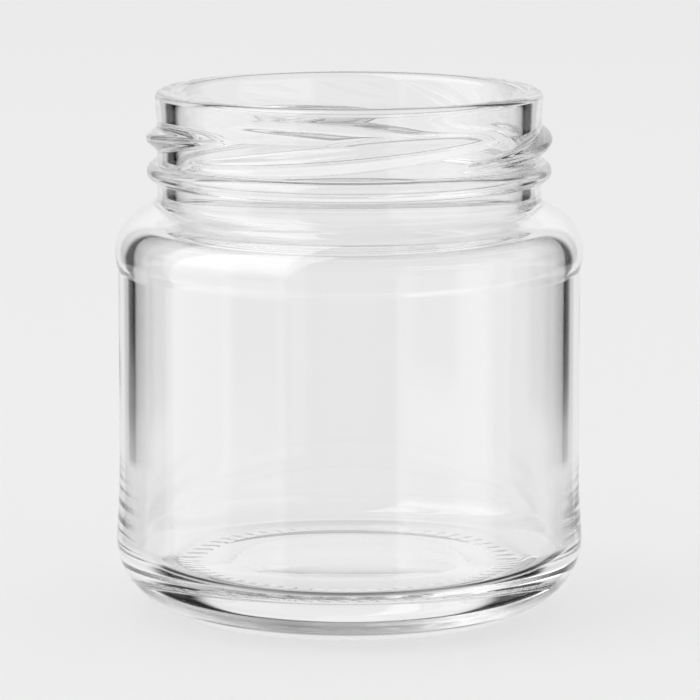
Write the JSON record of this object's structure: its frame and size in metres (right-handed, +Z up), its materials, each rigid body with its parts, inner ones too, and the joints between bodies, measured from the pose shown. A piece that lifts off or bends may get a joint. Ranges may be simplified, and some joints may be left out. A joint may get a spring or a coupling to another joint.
{
  "type": "empty glass honey jar",
  "caption": "Empty clear glass honey jar with a twist-off lug finish, transfer bead, rounded shoulder, recessed label panel and wide open mouth.",
  "frame": {"origin": "on the jar's axis, at the surface that it stands on", "axes": "+Z up along the jar's axis, through the mouth; one closure lug is centred on +X, the others follow at equal angles"},
  "size_m": [0.0728, 0.0728, 0.0818],
  "materials": {
    "glass": "clear, colourless, fire-polished"
  },
  "bodies": {
    "root": {"jar": "glass"}
  },
  "joints": []
}
